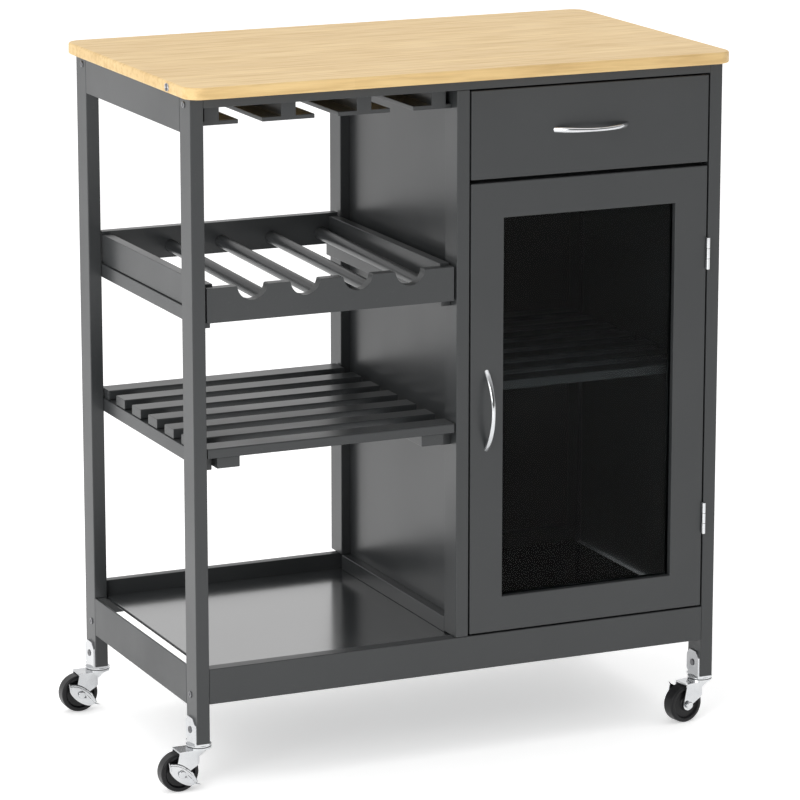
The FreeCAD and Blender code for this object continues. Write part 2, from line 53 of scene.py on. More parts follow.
# ---------- camera, light and floor
studio = {
    "cameraPlace": (-1.97831, -4.44349, 1.53712),
    "cameraTurn": -24.21,
    "cameraPitch": 13.23,
    "lens": 187.4,
    "floorSize": 90.0,
    # name, place, turn in degrees, width and power: a soft box in front on the left, a wide one overhead
    "lights": (("keyLight", (-2.3, -2.0, 1.5), (70, 0, -49), 1.6, 34.0),
               ("topLight", (0.0, -0.1, 3.2), (0, 0, 0), 3.0, 16.0)),
    "brightSide": (-0.12, 0.86, 0.42),
    "worldBright": 0.95,
    "worldDim": 0.10,
    "worldFade": (-0.75, 0.35),
    "floorGlow": 0.40,
}


def makeCamera():
    bpy.ops.object.camera_add(location=studio["cameraPlace"], rotation=(
        math.radians(90 - studio["cameraPitch"]), 0, math.radians(studio["cameraTurn"])))
    camera = bpy.context.active_object
    camera.name = "camera"
    camera.data.lens = studio["lens"]
    camera.data.sensor_width = 36
    camera.data.clip_end = 200
    camera.data.dof.use_dof = False
    bpy.context.scene.camera = camera


def makeLights():
    for name, place, turn, size, power in studio["lights"]:
        bpy.ops.object.light_add(type="AREA", location=place, rotation=[math.radians(a) for a in turn])
        light = bpy.context.active_object
        light.name = name
        light.data.size = size
        light.data.energy = power
    # a world that is bright behind and on the left, and dim in front and on the right
    world = bpy.data.worlds.new("studioWorld")
    world.use_nodes = True
    tree = world.node_tree
    tree.nodes.clear()
    way = tree.nodes.new("ShaderNodeTexCoord")
    lean = tree.nodes.new("ShaderNodeVectorMath")
    lean.operation = "DOT_PRODUCT"
    lean.inputs[1].default_value = studio["brightSide"]
    spread = tree.nodes.new("ShaderNodeMapRange")
    spread.interpolation_type = "SMOOTHSTEP"
    spread.inputs["From Min"].default_value, spread.inputs["From Max"].default_value = studio["worldFade"]
    spread.inputs["To Min"].default_value = studio["worldDim"]
    spread.inputs["To Max"].default_value = studio["worldBright"]
    back = tree.nodes.new("ShaderNodeBackground")
    out = tree.nodes.new("ShaderNodeOutputWorld")
    tree.links.new(way.outputs["Generated"], lean.inputs[0])
    tree.links.new(lean.outputs["Value"], spread.inputs["Value"])
    tree.links.new(spread.outputs["Result"], back.inputs["Strength"])
    tree.links.new(back.outputs[0], out.inputs[0])
    back.inputs["Color"].default_value = (1, 1, 1, 1)
    bpy.context.scene.world = world
    bpy.context.scene.view_settings.view_transform = "Standard"


def makeFloor():
    bpy.ops.mesh.primitive_plane_add(size=studio["floorSize"], location=(0, 0, 0))
    floor = bpy.context.active_object
    floor.name = "studioFloor"
    paper = bpy.data.materials.new("palePaper")
    paper.use_nodes = True
    shader = paper.node_tree.nodes["Principled BSDF"]
    shader.inputs["Base Color"].default_value = (0.96, 0.96, 0.96, 1)
    shader.inputs["Roughness"].default_value = 0.9
    shader.inputs["Specular IOR Level"].default_value = 0.1
    shader.inputs["Emission Color"].default_value = (1, 1, 1, 1)
    shader.inputs["Emission Strength"].default_value = studio["floorGlow"]
    floor.data.materials.append(paper)


bpy.ops.object.select_all(action="DESELECT")
makeCamera()
makeLights()
makeFloor()
print("stage: camera, lights and floor ready")


# ---------- node groups shared by the finishes
def newGroup(name, inputs, outputs):
    group = bpy.data.node_groups.new(name, "ShaderNodeTree")
    for label, kind, value in inputs:
        socket = group.interface.new_socket(name=label, in_out="INPUT", socket_type=kind)
        socket.default_value = value
    for label, kind in outputs:
        group.interface.new_socket(name=label, in_out="OUTPUT", socket_type=kind)
    start = group.nodes.new("NodeGroupInput")
    end = group.nodes.new("NodeGroupOutput")
    coords = group.nodes.new("ShaderNodeTexCoord")
    return group, start, end, coords


def addNoise(group, coords, stretch, scale, detail):
    place = group.nodes.new("ShaderNodeMapping")
    place.inputs["Scale"].default_value = stretch
    noise = group.nodes.new("ShaderNodeTexNoise")
    noise.inputs["Detail"].default_value = detail
    group.links.new(coords.outputs["Object"], place.inputs["Vector"])
    group.links.new(place.outputs["Vector"], noise.inputs["Vector"])
    if isinstance(scale, (int, float)):
        noise.inputs["Scale"].default_value = scale
    else:
        group.links.new(scale, noise.inputs["Scale"])
    return noise.outputs["Fac"]


def addRange(group, value, low, high, fromLow=0.35, fromHigh=0.65):
    spread = group.nodes.new("ShaderNodeMapRange")
    spread.inputs["From Min"].default_value = fromLow
    spread.inputs["From Max"].default_value = fromHigh
    for socket, amount in (("To Min", low), ("To Max", high)):
        if isinstance(amount, (int, float)):
            spread.inputs[socket].default_value = amount
        else:
            group.links.new(amount, spread.inputs[socket])
    group.links.new(value, spread.inputs["Value"])
    return spread.outputs["Result"]


def addMix(group, factor, first, second, blend="MIX"):
    mix = group.nodes.new("ShaderNodeMix")
    mix.data_type = "RGBA"
    mix.blend_type = blend
    if isinstance(factor, (int, float)):
        mix.inputs[0].default_value = factor
    else:
        group.links.new(factor, mix.inputs[0])
    group.links.new(first, mix.inputs[6])
    if isinstance(second, tuple):
        mix.inputs[7].default_value = second
    else:
        group.links.new(second, mix.inputs[7])
    return mix.outputs[2]


def addMath(group, kind, first, second):
    node = group.nodes.new("ShaderNodeMath")
    node.operation = kind
    for socket, value in zip(node.inputs, (first, second)):
        if isinstance(value, (int, float)):
            socket.default_value = value
        else:
            group.links.new(value, socket)
    return node.outputs[0]


def addBump(group, height, strength, distance):
    bump = group.nodes.new("ShaderNodeBump")
    bump.inputs["Distance"].default_value = distance
    if isinstance(strength, (int, float)):
        bump.inputs["Strength"].default_value = strength
    else:
        group.links.new(strength, bump.inputs["Strength"])
    group.links.new(height, bump.inputs["Height"])
    return bump.outputs["Normal"]


def makePaintGroup():
    # sprayed coat: soft mottling, a little orange peel and fine specks of dust
    group, start, end, coords = newGroup("sprayedCoat", [
        ("Color", "NodeSocketColor", (0.05, 0.05, 0.05, 1)),
        ("Second Color", "NodeSocketColor", (0.07, 0.07, 0.07, 1)),
        ("Roughness", "NodeSocketFloat", 0.4),
        ("Roughness Spread", "NodeSocketFloat", 0.08),
        ("Peel", "NodeSocketFloat", 0.12),
    ], [("Color", "NodeSocketColor"), ("Roughness", "NodeSocketFloat"), ("Normal", "NodeSocketVector")])
    broad = addNoise(group, coords, (1, 1, 1), 7.0, 4)
    fine = addNoise(group, coords, (1, 1, 1), 260.0, 3)
    peel = addNoise(group, coords, (1, 1, 1), 900.0, 2)
    tone = addMix(group, addRange(group, broad, 0.0, 1.0),
                  start.outputs["Color"], start.outputs["Second Color"])
    speck = addRange(group, fine, 0.0, 0.05, 0.64, 0.80)
    tone = addMix(group, speck, tone, (0.30, 0.30, 0.29, 1))
    rough = addMath(group, "MULTIPLY_ADD", addRange(group, broad, -1.0, 1.0),
                    start.outputs["Roughness Spread"])
    group.links.new(start.outputs["Roughness"], rough.node.inputs[2])
    group.links.new(tone, end.inputs["Color"])
    group.links.new(rough, end.inputs["Roughness"])
    group.links.new(addBump(group, peel, start.outputs["Peel"], 0.0004), end.inputs["Normal"])
    return group


def makeBambooGroup():
    # narrow strips glued side by side, with fibres and a darker joint in each strip here and there
    group, start, end, coords = newGroup("gluedStrips", [
        ("Light", "NodeSocketColor", (0.83, 0.60, 0.285, 1)),
        ("Dark", "NodeSocketColor", (0.68, 0.455, 0.19, 1)),
        ("Fibre", "NodeSocketColor", (0.48, 0.29, 0.105, 1)),
        ("Roughness", "NodeSocketFloat", 0.42),
    ], [("Color", "NodeSocketColor"), ("Roughness", "NodeSocketFloat"), ("Normal", "NodeSocketVector")])
    strips = group.nodes.new("ShaderNodeTexBrick")
    strips.offset = 0.37
    strips.inputs["Scale"].default_value = 1.0
    strips.inputs["Mortar Size"].default_value = 0.00018
    strips.inputs["Mortar Smooth"].default_value = 1.0
    strips.inputs["Brick Width"].default_value = 0.34
    strips.inputs["Row Height"].default_value = 0.0205
    strips.inputs["Color1"].default_value = (0.15, 0.15, 0.15, 1)
    strips.inputs["Color2"].default_value = (0.85, 0.85, 0.85, 1)
    strips.inputs["Mortar"].default_value = (0.0, 0.0, 0.0, 1)
    group.links.new(coords.outputs["Object"], strips.inputs["Vector"])
    streak = addNoise(group, coords, (11, 150, 150), 1.0, 5)
    wave = addNoise(group, coords, (9, 46, 46), 1.0, 3)
    fibre = addNoise(group, coords, (22, 900, 900), 1.0, 2)
    tone = addMix(group, addRange(group, strips.outputs["Color"], 0.0, 0.5, 0.0, 1.0),
                  start.outputs["Light"], start.outputs["Dark"])
    tone = addMix(group, addRange(group, wave, 0.0, 0.42), tone, start.outputs["Dark"])
    tone = addMix(group, addRange(group, streak, 0.0, 0.42, 0.45, 0.70), tone, start.outputs["Fibre"])
    tone = addMix(group, addRange(group, fibre, 0.0, 0.26, 0.5, 0.75), tone, start.outputs["Fibre"])
    rough = addMath(group, "ADD", start.outputs["Roughness"], addRange(group, streak, -0.05, 0.07))
    group.links.new(tone, end.inputs["Color"])
    group.links.new(rough, end.inputs["Roughness"])
    group.links.new(addBump(group, fibre, 0.10, 0.0003), end.inputs["Normal"])
    return group


def makeMetalGroup():
    # bright plating: faint clouds, small pits and the wipe marks of handling
    group, start, end, coords = newGroup("brightPlating", [
        ("Color", "NodeSocketColor", (0.8, 0.8, 0.8, 1)),
        ("Dull Color", "NodeSocketColor", (0.6, 0.6, 0.6, 1)),
        ("Roughness", "NodeSocketFloat", 0.1),
        ("Clouding", "NodeSocketFloat", 0.06),
        ("Grain", "NodeSocketFloat", 300.0),
    ], [("Color", "NodeSocketColor"), ("Roughness", "NodeSocketFloat"), ("Normal", "NodeSocketVector")])
    cloud = addNoise(group, coords, (1, 1, 1), 45.0, 4)
    grain = addNoise(group, coords, (1, 1, 1), start.outputs["Grain"], 2)
    tone = addMix(group, addRange(group, cloud, 0.0, 0.5),
                  start.outputs["Color"], start.outputs["Dull Color"])
    rough = addMath(group, "MULTIPLY_ADD", addRange(group, cloud, 0.0, 1.0), start.outputs["Clouding"])
    group.links.new(start.outputs["Roughness"], rough.node.inputs[2])
    group.links.new(tone, end.inputs["Color"])
    group.links.new(rough, end.inputs["Roughness"])
    group.links.new(addBump(group, grain, 0.04, 0.0002), end.inputs["Normal"])
    return group


def makeGlassGroup():
    # clean glass with a breath of wipe marks
    group, start, end, coords = newGroup("wipedGlass", [
        ("Color", "NodeSocketColor", (0.52, 0.55, 0.56, 1)),
        ("Wiped Color", "NodeSocketColor", (0.56, 0.59, 0.60, 1)),
        ("Roughness", "NodeSocketFloat", 0.0),
    ], [("Color", "NodeSocketColor"), ("Roughness", "NodeSocketFloat"), ("Normal", "NodeSocketVector")])
    wipe = addNoise(group, coords, (3, 3, 9), 1.0, 3)
    ripple = addNoise(group, coords, (1, 1, 1), 2.5, 1)
    tone = addMix(group, addRange(group, wipe, 0.0, 1.0),
                  start.outputs["Color"], start.outputs["Wiped Color"])
    rough = addMath(group, "ADD", start.outputs["Roughness"], addRange(group, wipe, 0.0, 0.012))
    group.links.new(tone, end.inputs["Color"])
    group.links.new(rough, end.inputs["Roughness"])
    group.links.new(addBump(group, ripple, 0.02, 0.0005), end.inputs["Normal"])
    return group


coatGroup = makePaintGroup()
glassGroup = makeGlassGroup()
bambooGroup = makeBambooGroup()
platingGroup = makeMetalGroup()
print("stage: node groups ready")


# ---------- finishes
def makeFinish(name, group, values, shaderValues):
    finish = bpy.data.materials.new(name)
    finish.use_nodes = True
    tree = finish.node_tree
    shader = tree.nodes["Principled BSDF"]
    for socket, value in shaderValues.items():
        shader.inputs[socket].default_value = value
    if group:
        detail = tree.nodes.new("ShaderNodeGroup")
        detail.node_tree = group
        detail.location = (-320, 0)
        for socket, value in values.items():
            detail.inputs[socket].default_value = value
        tree.links.new(detail.outputs["Color"], shader.inputs["Base Color"])
        tree.links.new(detail.outputs["Roughness"], shader.inputs["Roughness"])
        tree.links.new(detail.outputs["Normal"], shader.inputs["Normal"])
    return finish


paintTones = {"Color": (0.034, 0.0365, 0.038, 1), "Second Color": (0.041, 0.0435, 0.045, 1)}
finishes = {
    "frame_paint": makeFinish("satinGreyPaint", coatGroup, dict(
        paintTones, **{"Roughness": 0.34, "Roughness Spread": 0.05, "Peel": 0.08}),
        {"Specular IOR Level": 0.42, "Coat Weight": 0.1, "Coat Roughness": 0.22}),
    "panel_paint": makeFinish("panelGreyPaint", coatGroup, dict(
        paintTones, **{"Roughness": 0.32, "Roughness Spread": 0.04, "Peel": 0.06}),
        {"Specular IOR Level": 0.4, "Coat Weight": 0.1, "Coat Roughness": 0.22}),
    "floor_paint": makeFinish("semiGlossGreyPaint", coatGroup, dict(
        paintTones, **{"Roughness": 0.20, "Roughness Spread": 0.02, "Peel": 0.03}),
        {"Coat Weight": 1.0, "Coat Roughness": 0.15, "Coat IOR": 2.1}),
    "rail_steel": makeFinish("powderCoatedSteel", coatGroup, dict(
        paintTones, **{"Roughness": 0.40, "Roughness Spread": 0.06, "Peel": 0.22}),
        {"Specular IOR Level": 0.5}),
    "top_wood": makeFinish("oiledBamboo", bambooGroup, {}, {"Specular IOR Level": 0.35}),
    "chrome": makeFinish("brightChrome", platingGroup, {
        "Color": (0.66, 0.67, 0.68, 1), "Dull Color": (0.52, 0.53, 0.55, 1),
        "Roughness": 0.10, "Clouding": 0.08, "Grain": 160.0}, {"Metallic": 1.0}),
    "runner_steel": makeFinish("zincSheet", platingGroup, {
        "Color": (0.55, 0.56, 0.58, 1), "Dull Color": (0.42, 0.43, 0.46, 1),
        "Roughness": 0.28, "Clouding": 0.18, "Grain": 420.0}, {"Metallic": 1.0}),
    "screw_steel": makeFinish("darkZinc", platingGroup, {
        "Color": (0.24, 0.24, 0.25, 1), "Dull Color": (0.16, 0.16, 0.17, 1),
        "Roughness": 0.25, "Clouding": 0.2, "Grain": 700.0}, {"Metallic": 1.0}),
    "wheel_tread": makeFinish("hardBlackRubber", coatGroup, {
        "Color": (0.004, 0.004, 0.005, 1), "Second Color": (0.009, 0.009, 0.010, 1), "Roughness": 0.40,
        "Roughness Spread": 0.08, "Peel": 0.25}, {"Specular IOR Level": 0.32}),
    "catch_plastic": makeFinish("palePlastic", coatGroup, {
        "Color": (0.55, 0.55, 0.52, 1), "Second Color": (0.62, 0.62, 0.6, 1), "Roughness": 0.5,
        "Roughness Spread": 0.06, "Peel": 0.15}, {"Specular IOR Level": 0.4}),
    "door_glass": makeFinish("clearGlass", glassGroup, {}, {"Transmission Weight": 1.0, "IOR": 1.12}),
}
print("stage: finishes ready")


# ---------- modelling helpers
modelling = {"mergeWithin": 0.000005, "flatAngle": 0.5, "smoothAngle": 50, "bevelAngle": 40}


def backToObjects():
    if bpy.context.mode != "OBJECT":
        bpy.ops.object.mode_set(mode="OBJECT")


def pickNone():
    backToObjects()
    bpy.ops.object.select_all(action="DESELECT")


def pick(*pieces):
    pickNone()
    for piece in pieces:
        piece.select_set(True)
    bpy.context.view_layer.objects.active = pieces[0]


def selectWhere(piece, kind, test):
    # leaves the piece in edit mode with only the matching faces, edges or vertices selected
    pick(piece)
    bpy.ops.object.mode_set(mode="EDIT")
    bpy.ops.mesh.select_mode(type=kind)
    bpy.ops.mesh.select_all(action="DESELECT")
    bpy.ops.object.mode_set(mode="OBJECT")
    mesh = piece.data
    if kind == "FACE":
        for face in mesh.polygons:
            face.select = test(face.center, face.normal)
    elif kind == "EDGE":
        for edge in mesh.edges:
            edge.select = test(mesh.vertices[edge.vertices[0]].co, mesh.vertices[edge.vertices[1]].co)
    else:
        for vertex in mesh.vertices:
            vertex.select = test(vertex.co)
    bpy.ops.object.mode_set(mode="EDIT")


def applyModifier(piece, kind, **settings):
    pick(piece)
    modifier = piece.modifiers.new(kind.lower(), kind)
    for key, value in settings.items():
        setattr(modifier, key, value)
    bpy.ops.object.modifier_apply(modifier=modifier.name)


def easeEdges(piece, width, segments=2, angle=modelling["bevelAngle"]):
    # rounds every sharp edge a little, then shades it so that flat faces stay flat
    if width:
        applyModifier(piece, "BEVEL", width=width, segments=segments, limit_method="ANGLE",
                      angle_limit=math.radians(angle), use_clamp_overlap=True)
    pick(piece)
    bpy.ops.object.shade_smooth_by_angle(angle=math.radians(modelling["smoothAngle"]))
    applyModifier(piece, "WEIGHTED_NORMAL", keep_sharp=True, weight=90)


def editAll(piece):
    pick(piece)
    bpy.ops.object.mode_set(mode="EDIT")
    bpy.ops.mesh.select_all(action="SELECT")


def mergeFlatFaces():
    # works on what is selected, and leaves edit mode
    bpy.ops.mesh.dissolve_limited(angle_limit=math.radians(modelling["flatAngle"]))
    backToObjects()


def cleanShell(piece):
    editAll(piece)
    bpy.ops.mesh.remove_doubles(threshold=modelling["mergeWithin"])
    bpy.ops.mesh.normals_make_consistent(inside=False)
    backToObjects()


def settle(piece):
    # moves the piece's place into its mesh
    pick(piece)
    bpy.ops.object.transform_apply(location=True, rotation=True, scale=True)


def dress(piece, name, replaced, slot=None):
    piece.name = name
    piece.data.name = name
    slot = slot or slotOf[replaced[0]]
    piece.data.materials.clear()
    piece.data.materials.append(finishes[slot])
    for face in piece.data.polygons:
        face.material_index = 0
    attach(piece, bodyOf[replaced[0]])
    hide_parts(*replaced)
    return piece


def copyPiece(piece, name):
    twin = bpy.data.objects.new(name, piece.data.copy())
    bpy.context.scene.collection.objects.link(twin)
    return twin


def joinPieces(first, *others):
    pick(first, *others)
    bpy.ops.object.join()
    return first


def fusePieces(first, *others):
    for other in others:
        applyModifier(first, "BOOLEAN", operation="UNION", solver="EXACT", object=other)
        bpy.data.objects.remove(other)
    return first


def cutPiece(first, *others):
    for other in others:
        applyModifier(first, "BOOLEAN", operation="DIFFERENCE", solver="EXACT", object=other)
        bpy.data.objects.remove(other)
    return first


def addBlock(low, high):
    middle = [(a + b) / 2 for a, b in zip(low, high)]
    pickNone()
    bpy.ops.mesh.primitive_cube_add(size=1, location=middle, scale=[b - a for a, b in zip(low, high)])
    piece = bpy.context.active_object
    settle(piece)
    return piece


def addRound(radius, middle, length, axis="Z", sides=40):
    turn = {"X": (0, math.pi / 2, 0), "Y": (math.pi / 2, 0, 0), "Z": (0, 0, 0)}[axis]
    pickNone()
    bpy.ops.mesh.primitive_cylinder_add(vertices=sides, radius=radius, depth=length, location=middle,
                                        rotation=turn)
    piece = bpy.context.active_object
    settle(piece)
    return piece


def solidCopy(node):
    # a copy of the node's mesh with its loose triangles merged back into flat faces
    piece = copyPiece(nodes[node], node + "Copy")
    piece.data.materials.clear()
    editAll(piece)
    bpy.ops.mesh.remove_doubles(threshold=modelling["mergeWithin"])
    mergeFlatFaces()
    return piece


# ---------- boards, panels and rails: edge rounding in metres
boards = {
    "legFrontLeft": ("leg_front_left", 0.0011),
    "legFrontRight": ("leg_front_right", 0.0011),
    "legBackLeft": ("leg_back_left", 0.0011),
    "legBackRight": ("leg_back_right", 0.0011),
    "postFront": ("post_front", 0.0011),
    "postBack": ("post_back", 0.0011),
    "topRailFront": ("top_rail_front", 0.0005),
    "topRailBack": ("top_rail_back", 0.0006),
    "topRailsSide": ("top_rails_side", 0.0006),
    "bottomRailFront": ("bottom_rail_front", 0.0008),
    "bottomRailBack": ("bottom_rail_back", 0.0008),
    "bottomRailsSide": ("bottom_rails_side", 0.0006),
    "dividerPanel": ("divider_panel", 0.0004),
    "dividerBaseRail": ("divider_base_rail", 0.0008),
    "sidePanelRight": ("side_panel_right", 0.0004),
    "backPanel": ("back_panel", 0.0004),
    "floorPanel": ("floor_panel", 0.0008),
    "stemwareRails": ("stemware_rails", 0.0006),
    "shelfCleats": ("shelf_cleats", 0.0006),
    "shelfSlats": ("shelf_slats", 0.0004),
    "shelfBattens": ("shelf_battens", 0.0008),
    "cabinetShelfSlats": ("cabinet_shelf_slats", 0.0004),
    "cabinetShelfBattens": ("cabinet_shelf_battens", 0.0008),
    "trayFront": ("tray_front", 0.0009),
    "trayBack": ("tray_back", 0.0009),
    "traySides": ("tray_sides", 0.0006),
    "drawerFront": ("drawer_front", 0.0010),
    "drawerSides": ("drawer_sides", 0.0006),
    "drawerBack": ("drawer_back", 0.0006),
    "drawerBottom": ("drawer_bottom", 0.0004),
    "drawerRail": ("drawer_rail", 0.0006),
    "glassBeads": ("glass_beads", 0.0004),
    "doorGlass": ("door_glass", 0.0003),
    "doorCatch": ("door_catch", 0.0010),
    "edgePlate": ("edge_plate", 0.0002),
    "hingeLeavesDoor": ("hinge_leaves_door", 0.00012),
    "hingeLeavesFrame": ("hinge_leaves_frame", 0.00012),
    "worktopBoard": ("worktop", 0),
    "trayDowels": ("tray_dowels", 0.0008),
}


def easedBoard(name, node, width):
    piece = solidCopy(node)
    easeEdges(piece, width)
    return dress(piece, name, [node])


for name, (node, width) in boards.items():
    easedBoard(name, node, width)

# the door's frame is routed from one board, so its stiles and rails have no seams
doorFrame = fusePieces(solidCopy("door_stiles"), solidCopy("door_rails"))
cleanShell(doorFrame)
editAll(doorFrame)
mergeFlatFaces()
easeEdges(doorFrame, 0.0010)
dress(doorFrame, "doorFrame", ["door_stiles", "door_rails"])
print("stage: boards, panels and rails ready")


# ---------- bow handles
bow = {"rise": 0.0205, "halfLength": 0.0488, "halfHeight": 0.0035, "halfDepth": 0.0024,
       "steps": 36, "sides": 20, "waist": 0.72, "waistReach": 0.045, "waistCore": 0.004, "overrun": 0.02}


def addBow():
    # a bow along X with its feet on Y = 0, swept from an oval
    outer = (bow["halfLength"] ** 2 + bow["rise"] ** 2) / (2 * bow["rise"])
    middle = outer - bow["halfDepth"]
    sink = outer - bow["rise"]
    reach = math.acos(sink / outer) + bow["overrun"]  # the ends run past the face and are cut flush
    pickNone()
    bpy.ops.mesh.primitive_circle_add(vertices=bow["sides"], radius=1, location=(0, 0, 0),
                                      rotation=(0, math.pi / 2, 0))
    piece = bpy.context.active_object
    settle(piece)
    piece.scale = (1, bow["halfDepth"], bow["halfHeight"])
    piece.location = (0, -middle, 0)
    settle(piece)
    piece.rotation_euler = (0, 0, reach)
    settle(piece)
    pick(piece)
    bpy.ops.object.mode_set(mode="EDIT")
    bpy.ops.mesh.select_all(action="SELECT")
    bpy.ops.mesh.spin(steps=bow["steps"], angle=2 * reach, center=(0, 0, 0), axis=(0, 0, 1))
    bpy.ops.mesh.select_all(action="SELECT")
    bpy.ops.transform.translate(value=(0, sink, 0))
    bpy.ops.mesh.bisect(plane_co=(0, 0, 0), plane_no=(0, 1, 0), clear_outer=True, use_fill=True)
    # slimmer in the middle than at the feet
    backToObjects()
    selectWhere(piece, "VERT", lambda co: abs(co.x) < bow["waistCore"])
    bpy.ops.transform.resize(value=(1, 1, bow["waist"]), use_proportional_edit=True,
                             proportional_edit_falloff="SMOOTH", proportional_size=bow["waistReach"])
    backToObjects()
    cleanShell(piece)
    easeEdges(piece, 0)
    return piece


def placeBow(name, node, upright):
    low, high = (Vector(v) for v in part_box(node))
    piece = addBow()
    if upright:
        piece.rotation_euler = (0, math.pi / 2, 0)
        settle(piece)
    piece.location = ((low.x + high.x) / 2, high.y, (low.z + high.z) / 2)
    settle(piece)
    return dress(piece, name, [node])


placeBow("drawerHandle", "drawer_handle", False)
placeBow("doorHandle", "door_handle", True)
print("stage: handles ready")


# ---------- drawer runners: channels with a rolled groove
runner = {"lip": 0.004, "grooveSlope": 0.0006, "grooveDeep": 0.0022, "edge": 0.0005}


def grooveRunner(node, name, towards):
    # towards is +1 where the groove of the left-hand bar faces +X
    low, high = (Vector(v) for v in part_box(node))
    middle = (low.x + high.x) / 2
    piece = solidCopy(node)
    selectWhere(piece, "FACE", lambda co, normal: abs(normal.x) > 0.9
                and (co.x - middle) * normal.x * towards < 0)
    bpy.ops.mesh.inset(thickness=runner["lip"], use_individual=True)
    bpy.ops.mesh.inset(thickness=runner["grooveSlope"], depth=-runner["grooveDeep"], use_individual=True)
    backToObjects()
    easeEdges(piece, runner["edge"])
    dress(piece, name, [node])


grooveRunner("drawer_runners", "drawerRunners", 1)
grooveRunner("drawer_slides", "drawerSlides", -1)
print("stage: drawer runners ready")


# ---------- casters, drawn round a swivel axis at X = Y = 0 with the wheel towards -X
wheel = {"radius": 0.023, "halfWidth": 0.0085, "sides": 64, "shoulder": 0.0026, "rim": 0.0050, "dish": 0.0024,
         "dishWall": 0.0011, "ledge": 0.0010, "ledgeDeep": 0.0003, "webRise": 0.0006, "hub": 0.0085,
         "hubWall": 0.0009, "hubRise": 0.0016, "bore": 0.00305, "edge": 0.0004}
fork = {
    "trail": 0.026, "front": -0.00179, "rear": 0.028, "tail": 0.060, "edge": 0.0005,
    "plateLow": 0.0468, "plateHigh": 0.0488, "top": 0.0508,
    "cheekIn": 0.0097, "cheekOut": 0.0117, "eye": 0.007, "noseLow": 0.033, "noseRound": 0.006,
    "flareDeep": 0.0063, "flareRadius": 0.010, "flareSet": 0.007, "flareInset": 0.0003,
    "waistShare": 0.42, "waistSet": 0.0014, "waistSlim": 0.96, "waistRound": 0.0016,
    "raceRadius": 0.015, "raceLip": 0.0030, "raceGroove": 0.0010, "grooveDeep": 0.0008,
    "cavity": 0.0066, "cavityDeep": 0.0029, "kingpinBore": 0.00405,
}
rivet = {"radius": 0.0045, "near": 0.0140, "thick": 0.0018, "axle": 0.003,
         "domeSet": 0.0016, "domeRise": 0.0004, "edge": 0.0007}
lever = {"tail": -0.022, "tip": 0.0285, "half": 0.0092, "near": 0.0121, "thick": 0.0015, "sweep": 0.0025,
         "shift": -0.0015, "leafShare": 0.40, "nearShare": 0.386, "nearPull": 0.0012, "nearSweep": 0.35,
         "nearSlim": 0.72, "border": 0.0022, "raiseWall": 0.0006, "raise": 0.0005, "bore": 0.0031,
         "edge": 0.0002,
         "angles": {"front_left": -38, "front_right": 110, "back_left": -38, "back_right": 110},
         "sides": {"front_left": -1, "front_right": 1, "back_left": -1, "back_right": 1}}


def addWheel():
    # both sides at once, from the rim inwards to the hub face, then the bore between them
    piece = addRound(wheel["radius"], (-fork["trail"], 0, wheel["radius"]), 2 * wheel["halfWidth"], "Y",
                     wheel["sides"])
    web = wheel["radius"] - wheel["rim"] - wheel["dishWall"] - wheel["ledge"] - wheel["hub"]
    selectWhere(piece, "FACE", lambda co, normal: abs(normal.y) > 0.9)
    for inwards, rise in ((wheel["rim"], 0), (wheel["dishWall"], -wheel["dish"]),
                          (wheel["ledge"], -wheel["ledgeDeep"]), (web, wheel["webRise"]),
                          (wheel["hubWall"], wheel["hubRise"]),
                          (wheel["hub"] - wheel["hubWall"] - wheel["bore"], 0)):
        bpy.ops.mesh.inset(thickness=inwards, depth=rise, use_individual=True)
    bpy.ops.mesh.bridge_edge_loops()
    backToObjects()

    def onRim(co):
        return math.hypot(co.x + fork["trail"], co.z - wheel["radius"]) > wheel["radius"] - 0.00005

    selectWhere(piece, "EDGE", lambda a, b: onRim(a) and onRim(b) and abs(a.y - b.y) < 0.0001)
    bpy.ops.mesh.bevel(offset=wheel["shoulder"], segments=5, affect="EDGES")
    backToObjects()
    cleanShell(piece)
    easeEdges(piece, wheel["edge"], 2, 35)
    return piece


def addChannel(front, half, rounding, low, high):
    # a block that is open to the rear, with its two front corners rounded
    piece = addBlock((-fork["tail"], -half, low), (front, half, high))
    selectWhere(piece, "EDGE", lambda a, b: min(a.x, b.x) > front - 0.0001 and abs(a.z - b.z) > 0.001)
    bpy.ops.mesh.bevel(offset=rounding, segments=6, affect="EDGES")
    backToObjects()
    return piece


